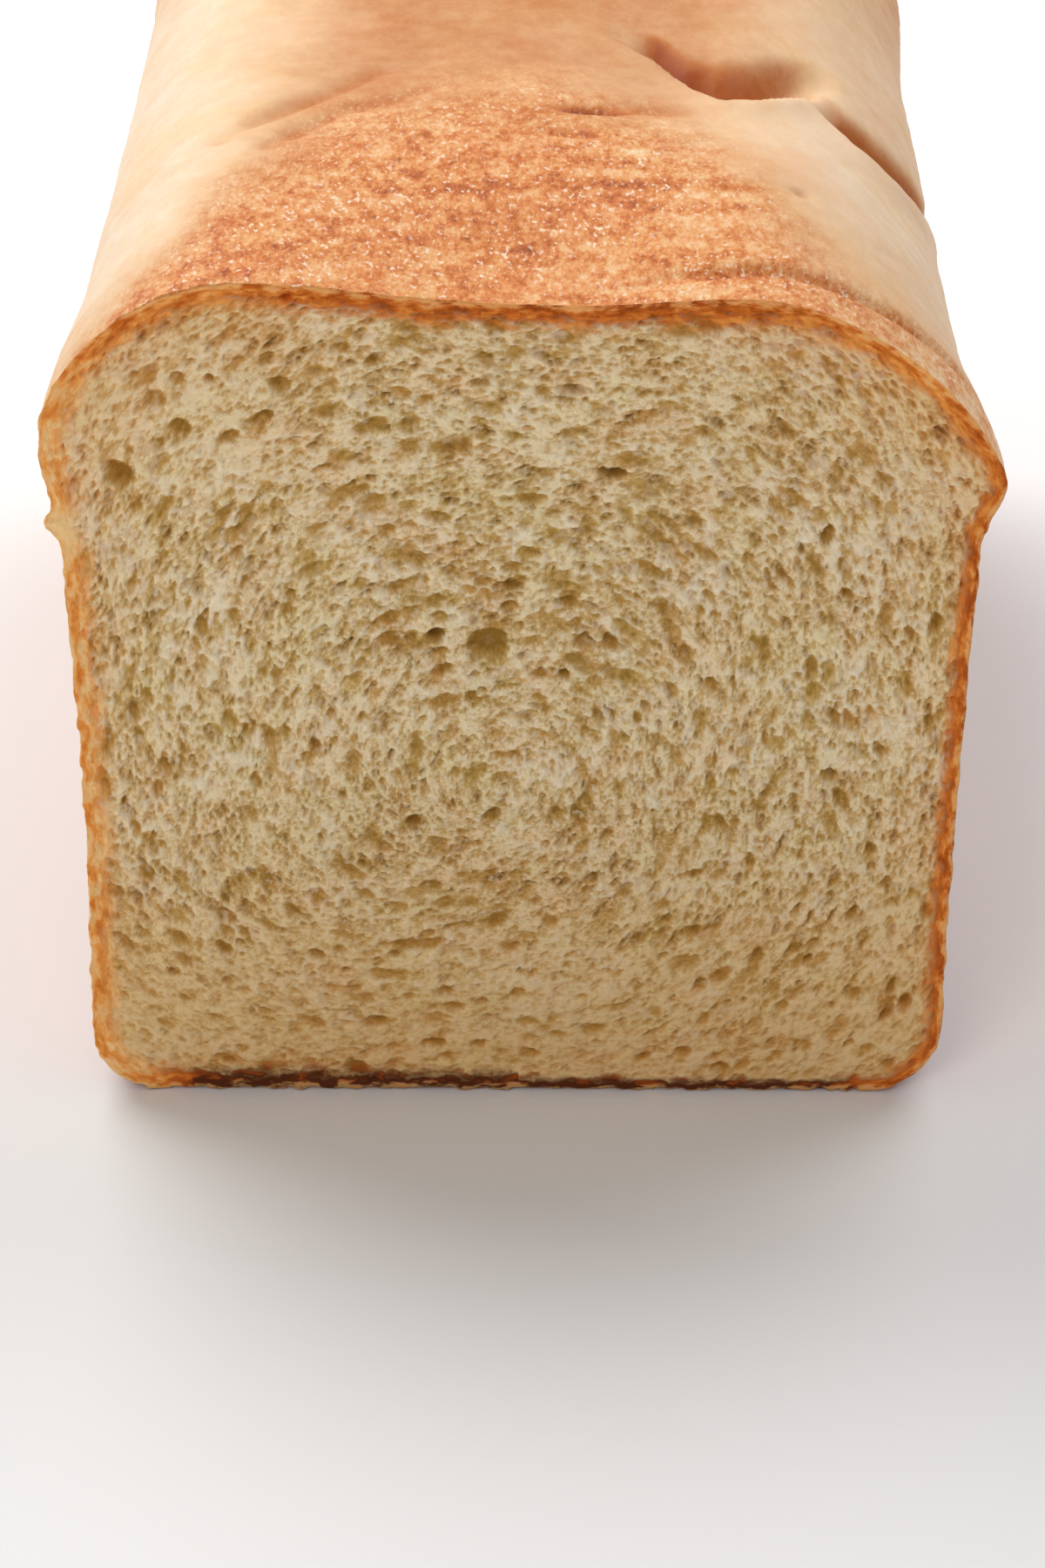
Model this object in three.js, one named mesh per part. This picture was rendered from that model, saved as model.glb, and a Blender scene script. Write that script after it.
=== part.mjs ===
// A tin loaf: a white sandwich loaf baked in a straight-sided tin, with its first slices cut off.
// It is one baked piece, so it is one solid. Millimetres, +Z up, resting on z = 0.
// The cut end faces -Y, and the rounded heel that the tin's end wall formed faces +Y.
import * as THREE from "three";

// Driving dimensions of the baked loaf, in millimetres.
const LOAF_LENGTH = 210; // from the cut to the heel
const TIN_DEPTH = 78; // height at which the dough came out over the tin's rim
const HEEL_LEAN = 3; // how far the tin's end wall leans out over its depth

// One side of the loaf, measured from the middle line.
const RIGHT_SIDE = {
  base: 55, // half width where the wall leaves the foot
  foot: 10, // radius of the long bottom edge
  waist: 0.6, // how far the wall sank in half way up, as the loaf cooled
  rim: 56.6, // half width at the tin's rim
  lip: 59.4, // half width where the dough swelled over the rim, at the cut and at the heel
  lipSlack: 2.8, // how much less it swelled in between
  lipRise: 8.5, // height of the lip above the rim
  lipTilt: 2, // how far the shoulder leans in as it leaves the lip
  lipFullness: 0.38, // 0.55 is a quarter ellipse, less is flatter
  crownEdge: 27, // where the shoulder runs out into the top
  crownRise: 31.9, // height of that point above the rim
  crownFullness: 0.55,
};
const LEFT_SIDE = {
  base: 55.2,
  foot: 8,
  waist: 0.6,
  rim: 56.2,
  lip: 58.3,
  lipSlack: 1.8,
  lipRise: 13,
  lipTilt: 0,
  lipFullness: 0.5,
  crownEdge: 33,
  crownRise: 33.5,
  crownFullness: 0.52,
};
const SLACK_SPAN = [4, 40, 140, 190]; // behind the cut, where the slack starts, is full, begins to go and is gone
const CROWN_LOW_AT = 5; // the top is lowest this far right of the middle line
const CROWN_SAG = 1.6; // how far the middle of the top lies below its two edges at the cut
const CROWN_DOME = 1.6; // how far it stands above them farther back
const SAG_REACH = 75; // the sag has turned into the dome this far behind the cut

// How the loaf rounds off at the heel.
const HEEL_CORNER = 13; // the tin's upright corners, seen from above
const HEEL_FOOT = 8; // the bottom edge at the heel
const HEEL_SHOULDER = 25; // the top edge, above the rim
const HEEL_LIP = 2.6; // how far the dough swelled out over the rim at the heel
const HEEL_LEAN_REACH = 60; // the lean and the lip fade out this far from the heel
const HEEL_RINGS = [0.96, 0.92, 0.88, 0.84, 0.6]; // rings on the end wall, as shares of its outline

// The top rose in two swellings, one before and one behind the fold.
const SWELLINGS = [
  { behindCut: 42, rise: 2.2, reach: 30 },
  { behindCut: 148, rise: 3.4, reach: 42 },
];

// Valleys pressed into the skin where the rolled dough folded over itself.
// Going out from the middle, a valley deepens from x = `from` to x = `full`, and it ends at the rim.
// `crownAt` and `sideAt` are its distances behind the cut on top and at the side of the loaf.
const FOLDS = {
  deep: { crownAt: 87, sideAt: 86, from: 6, full: 26, depth: 6, atSide: 0.5, halfWidth: 6.5 },
  leftTail: { crownAt: 82, sideAt: 54, from: -8, full: -28, depth: 1.1, atSide: 0, halfWidth: 6 },
  shoulderGroove: { crownAt: 6, sideAt: 11, from: 14, full: 34, depth: 1.1, atSide: 0.8, halfWidth: 3 },
};
const FOLD_CREST = 0.22; // how proud the dough stands just before a valley, as a share of its depth
const FOLD_CREST_AHEAD = 1.7; // where that crest is, in half widths towards the cut
const FOLD_FADE_ABOVE_RIM = 14; // a fold reaches its full depth this far above the rim

// How finely each stretch of a section's outline is divided.
const DIVISIONS = { base: 14, foot: 3, wall: 9, lip: 4, shoulder: 9, crown: 9 };
const CUT_STATION_STEP = 3; // closer sections over the shoulder groove
const CUT_STATIONS = 8;
const BODY_STATIONS = 40;
const HEEL_STATIONS = 8;

const CRUST_COLOUR = new THREE.Color(0.78, 0.47, 0.22);

const point = (x, z) => new THREE.Vector2(x, z);
const smooth = (from, to, value) => {
  const t = THREE.MathUtils.clamp((value - from) / (to - from), 0, 1);
  return t * t * (3 - 2 * t);
};
const smoothSigned = (from, to, value) => (to < from ? smooth(-from, -to, -value) : smooth(from, to, value));
const bell = (distance, halfWidth) => Math.exp(-((distance / halfWidth) ** 2));

// How far a rounded edge of this radius has fallen back at a distance before the flat end.
function roundOff(toHeel, radius) {
  if (toHeel >= radius) return 0;
  return radius - Math.sqrt(radius ** 2 - (radius - toHeel) ** 2);
}

// The share of the lips' slack at this distance behind the cut.
function slackAt(behindCut) {
  const [starts, full, eases, gone] = SLACK_SPAN;
  return smooth(starts, full, behindCut) - smooth(eases, gone, behindCut);
}

// One side's outline from its foot up to the crown's edge, as curves on the right (x > 0).
function sideCurves(side, toHeel) {
  const inset = roundOff(toHeel, HEEL_CORNER);
  const floor = roundOff(toHeel, HEEL_FOOT);
  const domeLeft = 1 - roundOff(toHeel, HEEL_SHOULDER) / HEEL_SHOULDER;
  const base = side.base - inset;
  const rim = side.rim - inset;
  const lip = side.lip - inset - side.lipSlack * slackAt(LOAF_LENGTH - toHeel);
  const lipHeight = TIN_DEPTH + side.lipRise;
  const crownHeight = lipHeight + (side.crownRise - side.lipRise) * domeLeft;
  const shoulderRun = lip - side.crownEdge;
  const lipLead = side.lipRise / 2;
  return [
    new THREE.EllipseCurve(base - side.foot, floor + side.foot, side.foot, side.foot, -Math.PI / 2, 0),
    new THREE.QuadraticBezierCurve(
      point(base, floor + side.foot),
      point((base + rim) / 2 - 2 * side.waist, (floor + side.foot + TIN_DEPTH) / 2),
      point(rim, TIN_DEPTH),
    ),
    new THREE.CubicBezierCurve(
      point(rim, TIN_DEPTH),
      point(rim, TIN_DEPTH + lipLead),
      point(lip, lipHeight - lipLead),
      point(lip, lipHeight),
    ),
    new THREE.CubicBezierCurve(
      point(lip, lipHeight),
      point(lip - side.lipTilt, lipHeight + (crownHeight - lipHeight) * side.lipFullness),
      point(side.crownEdge + shoulderRun * (1 - side.crownFullness), crownHeight),
      point(side.crownEdge, crownHeight),
    ),
  ];
}

// A curve's points without its last, which is the next curve's first.
const openPoints = (curve, divisions) => curve.getPoints(divisions).slice(0, -1);

// The closed outline of the section at this distance from the heel, anticlockwise from the base's left end.
function sectionOutline(toHeel) {
  const sidePoints = (side) => {
    const counts = [DIVISIONS.foot, DIVISIONS.wall, DIVISIONS.lip, DIVISIONS.shoulder];
    return sideCurves(side, toHeel).flatMap((curve, i) => openPoints(curve, counts[i]));
  };
  const crownEnd = (side) => sideCurves(side, toHeel).at(-1).v3;
  const mirrored = (p) => point(-p.x, p.y);
  const right = sidePoints(RIGHT_SIDE);
  const left = [...sidePoints(LEFT_SIDE), crownEnd(LEFT_SIDE)].map(mirrored).reverse();
  const rightCrown = crownEnd(RIGHT_SIDE);
  const leftCrown = left[0];
  const domeLeft = 1 - roundOff(toHeel, HEEL_SHOULDER) / HEEL_SHOULDER;
  const middleRise = THREE.MathUtils.lerp(-CROWN_SAG, CROWN_DOME, smooth(0, SAG_REACH, LOAF_LENGTH - toHeel));
  const middle = point(CROWN_LOW_AT, (rightCrown.y + leftCrown.y) / 2 + 2 * middleRise * domeLeft);
  const crown = new THREE.QuadraticBezierCurve(rightCrown, middle, leftCrown);
  const base = new THREE.LineCurve(left.at(-1), right[0]);
  return [...openPoints(base, DIVISIONS.base), ...right, ...openPoints(crown, DIVISIONS.crown), ...left.slice(0, -1)];
}

// How much the swellings lift a point of the top.
function swellingAt(behindCut, height) {
  const share = smooth(TIN_DEPTH, TIN_DEPTH + RIGHT_SIDE.crownRise, height);
  return SWELLINGS.reduce((sum, s) => sum + share * s.rise * bell(behindCut - s.behindCut, s.reach), 0);
}

// How deep the folds press in at a point of the skin.
function foldDepthAt(x, behindCut, height) {
  const aboveRim = smooth(TIN_DEPTH, TIN_DEPTH + FOLD_FADE_ABOVE_RIM, height);
  return Object.values(FOLDS).reduce((sum, fold) => {
    const onSide = smooth(Math.abs(fold.full), RIGHT_SIDE.lip, Math.abs(x));
    const past = behindCut - THREE.MathUtils.lerp(fold.crownAt, fold.sideAt, onSide);
    const crest = FOLD_CREST * bell(past + FOLD_CREST_AHEAD * fold.halfWidth, fold.halfWidth);
    const depth = fold.depth * THREE.MathUtils.lerp(1, fold.atSide, onSide);
    return sum + aboveRim * smoothSigned(fold.from, fold.full, x) * depth * (bell(past, fold.halfWidth) - crest);
  }, 0);
}

// How far a point near the heel reaches out past an upright end, by the wall's lean and the lip over the rim.
function heelReachAt(toHeel, height) {
  const nearHeel = 1 - smooth(0, HEEL_LEAN_REACH, toHeel);
  const overRim = smooth(TIN_DEPTH - 2, TIN_DEPTH + LEFT_SIDE.lipRise, height);
  return nearHeel * (HEEL_LEAN * Math.min(height / TIN_DEPTH, 1) + HEEL_LIP * overRim);
}

// The ring of 3-D points at this distance from the heel.
function ringAt(toHeel) {
  const behindCut = LOAF_LENGTH - toHeel;
  return sectionOutline(toHeel).map(({ x, y: height }) => {
    const inwards = new THREE.Vector2(-x, TIN_DEPTH / 2 - height).normalize();
    const press = foldDepthAt(x, behindCut, height);
    return new THREE.Vector3(
      x + inwards.x * press,
      behindCut + heelReachAt(toHeel, height),
      height + inwards.y * press + swellingAt(behindCut, height),
    );
  });
}

// The end wall's own rings, drawn in towards its middle, so that it leans and swells as its outline does.
function heelRing(share) {
  const middleHeight = TIN_DEPTH / 2;
  return sectionOutline(0).map(({ x, y }) => {
    const height = middleHeight + (y - middleHeight) * share;
    return new THREE.Vector3(x * share, LOAF_LENGTH + heelReachAt(0, height), height);
  });
}

// Distances from the heel of all sections, from the cut back to the flat end wall.
function stations() {
  const nearCut = Array.from({ length: CUT_STATIONS }, (_, i) => LOAF_LENGTH - i * CUT_STATION_STEP);
  const bodyStart = LOAF_LENGTH - CUT_STATIONS * CUT_STATION_STEP;
  const bodyStep = (bodyStart - HEEL_SHOULDER) / BODY_STATIONS;
  const body = Array.from({ length: BODY_STATIONS }, (_, i) => bodyStart - i * bodyStep);
  const heel = Array.from({ length: HEEL_STATIONS + 1 }, (_, i) => {
    const turn = (Math.PI / 2) * (1 - i / HEEL_STATIONS);
    return HEEL_SHOULDER * (1 - Math.cos(turn));
  });
  return [...nearCut, ...body, ...heel];
}

// Joins the rings into one closed skin, with a flat cap on the cut and another on the heel.
function loafGeometry() {
  const rings = [...stations().map(ringAt), ...HEEL_RINGS.map(heelRing)];
  const around = rings[0].length;
  const indices = [];
  for (let r = 0; r + 1 < rings.length; r++) {
    for (let i = 0; i < around; i++) {
      const here = r * around + i;
      const beside = r * around + ((i + 1) % around);
      indices.push(here, here + around, beside, beside, here + around, beside + around);
    }
  }
  const cap = (ring) =>
    THREE.ShapeUtils.triangulateShape(
      ring.map((p) => point(p.x, p.z)),
      [],
    );
  const last = (rings.length - 1) * around;
  for (const [a, b, c] of cap(rings[0])) indices.push(a, b, c);
  for (const [a, b, c] of cap(rings.at(-1))) indices.push(last + a, last + c, last + b);
  const geometry = new THREE.BufferGeometry().setFromPoints(rings.flat());
  geometry.setIndex(indices);
  return geometry;
}

// Puts the middle of the loaf's box on the origin and its base on z = 0.
function centredOnBase(geometry) {
  geometry.computeBoundingBox();
  const { min, max } = geometry.boundingBox;
  return geometry.translate(-(min.x + max.x) / 2, -(min.y + max.y) / 2, -min.z);
}

const loaf = new THREE.Mesh(
  centredOnBase(loafGeometry()),
  new THREE.MeshStandardMaterial({ color: CRUST_COLOUR, roughness: 0.7, metalness: 0 }),
);
loaf.name = "loaf";
loaf.geometry.computeVertexNormals();

const tinLoaf = new THREE.Group();
tinLoaf.name = "tin_loaf";
tinLoaf.add(loaf);

export default tinLoaf;
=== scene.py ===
# %% [markdown]
# # A tin loaf, cut open
# A white sandwich loaf comes out of a straight-sided tin as one piece. Three things make it look like bread:
# the soft form that the tin and the oven gave it, the thin browned skin, and the foam that the knife opened.
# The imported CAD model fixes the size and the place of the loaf. The work here is to bake it again
# in fine detail around that fixed frame: one closed skin, whose cut end carries the crumb as real relief.

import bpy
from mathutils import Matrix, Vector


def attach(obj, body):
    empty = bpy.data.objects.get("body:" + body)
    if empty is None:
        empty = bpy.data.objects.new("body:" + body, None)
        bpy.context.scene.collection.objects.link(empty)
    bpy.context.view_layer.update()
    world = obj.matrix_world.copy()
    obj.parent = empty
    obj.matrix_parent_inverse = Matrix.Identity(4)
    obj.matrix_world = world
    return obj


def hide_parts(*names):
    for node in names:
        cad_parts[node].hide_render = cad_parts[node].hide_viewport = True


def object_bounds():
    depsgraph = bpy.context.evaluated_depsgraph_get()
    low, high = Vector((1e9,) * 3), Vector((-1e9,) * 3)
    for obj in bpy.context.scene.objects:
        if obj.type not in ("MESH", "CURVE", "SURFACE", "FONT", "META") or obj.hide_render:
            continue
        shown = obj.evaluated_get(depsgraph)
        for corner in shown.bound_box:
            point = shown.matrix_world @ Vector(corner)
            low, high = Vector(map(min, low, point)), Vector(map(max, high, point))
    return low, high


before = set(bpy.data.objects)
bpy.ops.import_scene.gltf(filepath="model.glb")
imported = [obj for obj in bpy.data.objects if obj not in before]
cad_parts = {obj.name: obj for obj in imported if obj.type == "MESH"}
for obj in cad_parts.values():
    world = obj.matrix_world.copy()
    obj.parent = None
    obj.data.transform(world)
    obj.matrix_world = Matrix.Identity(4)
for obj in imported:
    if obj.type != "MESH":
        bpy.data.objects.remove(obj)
cad_low, cad_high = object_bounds()
print("the loaf's box, in mm:", [round(1000 * side, 1) for side in cad_high - cad_low])

# %% Bring in the tools
import math

import bpy
import numpy as np
from mathutils import Vector

MM = 0.001  # sizes below are in millimetres, and Blender works in metres

# %% [markdown]
# ## The camera
# A loaf on a table is looked down on from the front, from about an arm's length away.
# A long lens keeps the sides of the cut nearly parallel, so the slice looks as square as it is.
# It is placed from the cut, because the crumb is what one looks at first.

# %% Place the camera in front of the cut
CAMERA_RIGHT, CAMERA_AHEAD, CAMERA_UP = 3.2, 486.6, 298.1
LOOK_DOWN, LOOK_LEFT = math.radians(27.49), math.radians(0.376)

camera_data = bpy.data.cameras.new("camera")
camera_data.lens, camera_data.sensor_width = 100, 36
camera_data.clip_start, camera_data.clip_end = 0.05, 30
camera = bpy.data.objects.new("camera", camera_data)
camera.location = (CAMERA_RIGHT * MM, cad_low.y - CAMERA_AHEAD * MM, CAMERA_UP * MM)
gaze = Vector((
    -math.sin(LOOK_LEFT) * math.cos(LOOK_DOWN),
    math.cos(LOOK_LEFT) * math.cos(LOOK_DOWN),
    -math.sin(LOOK_DOWN),
))
camera.rotation_euler = gaze.to_track_quat("-Z", "Y").to_euler()
bpy.context.scene.collection.objects.link(camera)
bpy.context.scene.camera = camera
print("camera at", [round(c, 3) for c in camera.location])

# %% [markdown]
# ## The outline of a slice
# Every slice of a tin loaf has the same family outline: a flat base, rounded feet, walls that the tin kept
# straight, a lip where the dough swelled over the rim, and soft shoulders that run out into the top.
# One could sculpt it, or scan it. Drawing it with a few named curves is better here,
# because each size can be checked against a real loaf, and every ring of the mesh gets as many points.

# %% Name the sizes of the loaf
HEEL_LEAN, HEEL_LIP = 3, 2.6
LOAF_LENGTH = (cad_high.y - cad_low.y) / MM - HEEL_LEAN - HEEL_LIP
TIN_DEPTH = 78
RIGHT_SIDE = dict(base=55, foot=10, waist=0.6, rim=56.6, lip=59.4, slack=2.8, lip_rise=8.5, lip_tilt=2,
                  lip_full=0.38, crown_edge=27, crown_rise=31.9, crown_full=0.55)
LEFT_SIDE = dict(base=55.2, foot=8, waist=0.6, rim=56.2, lip=58.3, slack=1.8, lip_rise=13, lip_tilt=0,
                 lip_full=0.5, crown_edge=33, crown_rise=33.5, crown_full=0.52)
SLACK_SPAN = (4, 40, 140, 190)
CROWN_LOW_AT, CROWN_SAG, CROWN_DOME, SAG_REACH = 5, 1.6, 1.6, 75
HEEL_CORNER, HEEL_FOOT, HEEL_SHOULDER, HEEL_LEAN_REACH = 13, 8, 25, 60
SWELLINGS = ((42, 2.2, 30), (148, 3.4, 42))  # behind the cut, rise, reach
print("loaf without its heel's bulge:", round(LOAF_LENGTH, 1), "mm")


# %% Helpers for soft shapes
def ease(start, end, value):
    """0 before start, 1 after end, and a smooth rise between them."""
    t = np.clip((value - start) / (end - start), 0, 1)
    return t * t * (3 - 2 * t)


def bell(distance, half_width):
    """A smooth hump, 1 in the middle."""
    return np.exp(-((distance / half_width) ** 2))


def mix(a, b, share):
    return a + (b - a) * share


def round_off(to_heel, radius):
    """How far a rounded edge has fallen back, this far before the flat end."""
    left = np.clip(radius - to_heel, 0, radius)
    return radius - np.sqrt(radius**2 - left**2)


# %% Draw one side of a slice, and the whole slice
def bezier(points, share):
    """A point on the curve that these control points pull, for each share from 0 to 1."""
    rows = [np.outer(1 - share, a) + np.outer(share, b) for a, b in zip(points, points[1:])]
    while len(rows) > 1:
        rows = [(1 - share)[:, None] * a + share[:, None] * b for a, b in zip(rows, rows[1:])]
    return rows[0]


def slack_at(behind):
    return ease(*SLACK_SPAN[:2], behind) - ease(*SLACK_SPAN[2:], behind)


def side_curves(side, behind):
    """Foot, wall, lip and shoulder of the right side, from the base up, as control points."""
    to_heel = LOAF_LENGTH - behind
    inset, floor = round_off(to_heel, HEEL_CORNER), round_off(to_heel, HEEL_FOOT)
    dome = 1 - round_off(to_heel, HEEL_SHOULDER) / HEEL_SHOULDER
    base, rim = side["base"] - inset, side["rim"] - inset
    lip = side["lip"] - inset - side["slack"] * slack_at(behind)
    lip_height = TIN_DEPTH + side["lip_rise"]
    crown = lip_height + (side["crown_rise"] - side["lip_rise"]) * dome
    foot, edge, lead = side["foot"], side["crown_edge"], side["lip_rise"] / 2
    round_pull = 0.552 * foot  # turns the curve into a quarter of a circle, nearly
    return [
        [(base - foot, floor), (base - foot + round_pull, floor),
         (base, floor + foot - round_pull), (base, floor + foot)],
        [(base, floor + foot), ((base + rim) / 2 - 2 * side["waist"], (floor + foot + TIN_DEPTH) / 2),
         (rim, TIN_DEPTH)],
        [(rim, TIN_DEPTH), (rim, TIN_DEPTH + lead), (lip, lip_height - lead), (lip, lip_height)],
        [(lip, lip_height), (lip - side["lip_tilt"], lip_height + (crown - lip_height) * side["lip_full"]),
         (edge + (lip - edge) * (1 - side["crown_full"]), crown), (edge, crown)],
    ]


def evenly(points, steps):
    """Points at even distances along a curve, without its last one."""
    dense = bezier(np.array(points, float), np.linspace(0, 1, 81))
    length = np.concatenate([[0], np.cumsum(np.hypot(*np.diff(dense, axis=0).T))])
    wanted = np.arange(steps) / steps * length[-1]
    return np.stack([np.interp(wanted, length, dense[:, i]) for i in (0, 1)], 1)


# how many steps each stretch of the outline has, anticlockwise from the base's left end
BASE_STEPS, CROWN_STEPS = 344, 232
RIGHT_STEPS, LEFT_STEPS = (48, 256, 36, 148), (40, 256, 48, 128)
AROUND = BASE_STEPS + CROWN_STEPS + sum(RIGHT_STEPS) + sum(LEFT_STEPS)


def slice_outline(behind):
    """The outline of the slice this far behind the cut, AROUND points of (x, height)."""
    mirror = np.array([-1, 1])
    right = side_curves(RIGHT_SIDE, behind)
    left = [[mirror * p for p in curve[::-1]] for curve in side_curves(LEFT_SIDE, behind)[::-1]]
    dome = 1 - round_off(LOAF_LENGTH - behind, HEEL_SHOULDER) / HEEL_SHOULDER
    rise = mix(-CROWN_SAG, CROWN_DOME, ease(0, SAG_REACH, behind)) * dome
    start, end = right[-1][-1], left[0][0]
    lead, level = 0.2 * (start[0] - end[0]), (start[1] + end[1]) / 2 + 1.6 * rise
    middle = [(CROWN_LOW_AT + 6, level), (CROWN_LOW_AT - 6, level)]
    crown = [start, (start[0] - lead, start[1]), *middle, (end[0] + lead, end[1]), end]
    base = [left[-1][-1], right[0][0]]
    curves = [base, *right, crown, *left]
    steps = [BASE_STEPS, *RIGHT_STEPS, CROWN_STEPS, *LEFT_STEPS[::-1]]
    return np.concatenate([evenly(c, n) for c, n in zip(curves, steps)])


print("points around the cut:", AROUND, "at about",
      round(float(np.hypot(*np.diff(slice_outline(0), axis=0).T).mean()), 2), "mm")

# %% [markdown]
# ## From slices to one closed skin
# The skin is a stack of these outlines from the cut back to the heel. Close to the cut the points are
# a quarter of a millimetre apart, because that edge is looked at closely. Farther back every second point
# is left out, and later every second one again, so that the mesh stays light where the skin is plain.
# The two ends are closed with a net of squares stretched between four stretches of the outline,
# which gives the crumb an even net to be carved in.

# %% Lay out the rings
HEEL_RINGS = 44
FINE_TO, MIDDLE_TO = 1.5, 62
fine = np.arange(0, FINE_TO, 0.25)
middle = np.linspace(FINE_TO, MIDDLE_TO, 108)
coarse = np.linspace(MIDDLE_TO, LOAF_LENGTH - HEEL_SHOULDER, 140)[1:]
heel_turn = np.linspace(math.pi / 2, 0, HEEL_RINGS)[1:]
heel = LOAF_LENGTH - HEEL_SHOULDER * (1 - np.cos(heel_turn))
stations = [(b, 1) for b in fine] + [(b, 2) for b in middle] + [(b, 4) for b in [*coarse, *heel]]
print(len(stations), "rings")


def heel_reach(behind, height):
    """How far the heel's wall leans and swells out past an upright end."""
    near = 1 - ease(0, HEEL_LEAN_REACH, LOAF_LENGTH - behind)
    over_rim = ease(TIN_DEPTH - 2, TIN_DEPTH + LEFT_SIDE["lip_rise"], height)
    return near * (HEEL_LEAN * np.minimum(height / TIN_DEPTH, 1) + HEEL_LIP * over_rim)


# %% Stack the rings
points, rings = [], []
for behind, skip in stations:
    outline = slice_outline(behind)[::skip]
    height = outline[:, 1]
    on_top = ease(TIN_DEPTH, TIN_DEPTH + RIGHT_SIDE["crown_rise"], height)
    lift = sum(on_top * rise * bell(behind - at, reach) for at, rise, reach in SWELLINGS)
    ring = np.stack([outline[:, 0], behind + heel_reach(behind, height), height + lift], 1)
    rings.append(np.arange(len(ring)) + sum(map(len, points)))
    points.append(ring)


# %% Close both ends with a net of squares
# Where the four corners of the net sit on the outline: in the middle of each foot and of each shoulder.
NET_HEIGHT = 380
low_left, low_right = AROUND - LEFT_STEPS[0] // 2, BASE_STEPS + RIGHT_STEPS[0] // 2
high_right = low_right + NET_HEIGHT
CORNERS = (low_left, low_right, high_right, high_right + AROUND - low_left + low_right)


def net_over(ring, skip):
    """Vertex numbers of a net of squares that fills the ring, and the places of its new points."""
    c0, c1, c2, c3 = (c // skip for c in CORNERS)
    n = len(ring)
    bottom = np.arange(c0 - n, c1 + 1)
    right, top, left = np.arange(c1, c2 + 1), np.arange(c3, c2 - 1, -1), np.arange(c0, c3 - 1, -1)
    s, t = np.linspace(0, 1, len(bottom))[None, :, None], np.linspace(0, 1, len(right))[:, None, None]
    across = (1 - t) * ring[bottom][None] + t * ring[top][None]
    along = (1 - s) * ring[left][:, None] + s * ring[right][:, None]
    low_corners = (1 - s) * ring[c0] + s * ring[c1]
    high_corners = (1 - s) * ring[c3] + s * ring[c2]
    corners = (1 - t) * low_corners + t * high_corners
    places = across + along - corners
    number = np.full(places.shape[:2], -1)
    number[0], number[-1], number[:, 0], number[:, -1] = bottom % n, top, left, right
    return number, places


def add_net(ring_at, skip):
    number, places = net_over(points[ring_at], skip)
    first = sum(map(len, points))
    inner = number < 0
    number[~inner] = rings[ring_at][number[~inner]]
    number[inner] = first + np.arange(inner.sum())
    points.append(places[inner])
    return number


cut_net = add_net(0, 1)
heel_net = add_net(len(rings) - 1, 4)
places = np.concatenate(points)
heel_only = np.unique(heel_net[1:-1, 1:-1])
HEEL_HOLLOW = 0.9  # the end wall sinks in a little as the loaf cools
HOLLOW_MIDDLE, HOLLOW_REACH_X, HOLLOW_REACH_Z = 42, 45, 42
heel_x, heel_z = places[heel_only, 0], places[heel_only, 2]
hollow = np.clip(1 - (heel_x / HOLLOW_REACH_X) ** 2, 0, 1)
hollow *= np.clip(1 - ((heel_z - HOLLOW_MIDDLE) / HOLLOW_REACH_Z) ** 2, 0, 1)
places[heel_only, 1] = LOAF_LENGTH + heel_reach(LOAF_LENGTH, heel_z) - HEEL_HOLLOW * hollow
print(len(places), "points")


# %% Join the points into faces
def step_on(ring):
    return np.roll(ring, -1)


def strip(front, back, front_at, back_at):
    """Faces between two rings, with the place of each corner on the unrolled skin.
    Where the back ring has half the points, three triangles bridge each of its steps."""
    n, m = len(front), len(back)
    f, g = np.arange(n) / n, np.arange(m) / m
    at = lambda around, along: np.stack([around, np.full(len(around), along)], -1)
    if n == m:
        faces = np.stack([front, back, step_on(back), step_on(front)], 1)
        spots = [at(f, front_at), at(g, back_at), at(g + 1 / m, back_at), at(f + 1 / n, front_at)]
        return [(faces, np.stack(spots, 1))]
    a, b, c = front[0::2], front[1::2], step_on(front[0::2])
    fa, fb, fc = (at(g + shift / n, front_at) for shift in (0, 1, 2))
    ga, gb = at(g, back_at), at(g + 1 / m, back_at)
    return [
        (np.stack([a, back, b], 1), np.stack([fa, ga, fb], 1)),
        (np.stack([b, back, step_on(back)], 1), np.stack([fb, ga, gb], 1)),
        (np.stack([b, step_on(back), c], 1), np.stack([fb, gb, fc], 1)),
    ]


def net_faces(net, outwards):
    corners = [net[:-1, :-1], net[:-1, 1:], net[1:, 1:], net[1:, :-1]]
    return np.stack(corners[::outwards], -1).reshape(-1, 4)


# %% Unroll the skin for a later painter
# The map is laid out so that the cut gets most of the sheet, because it holds the finest detail.
SHEET_CUT, SHEET_HEEL, SHEET_SKIN, SHEET_EDGE = 0.66, 0.30, 0.32, 0.006
SLICE_SPAN = 122  # a square that any slice fits in, in millimetres


def on_sheet(faces, left, low, size):
    flat = places[faces][..., [0, 2]]
    flat = (flat + (SLICE_SPAN / 2, 3)) / SLICE_SPAN
    return np.stack([left + flat[..., 0] * size, low + flat[..., 1] * size], -1)


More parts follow.
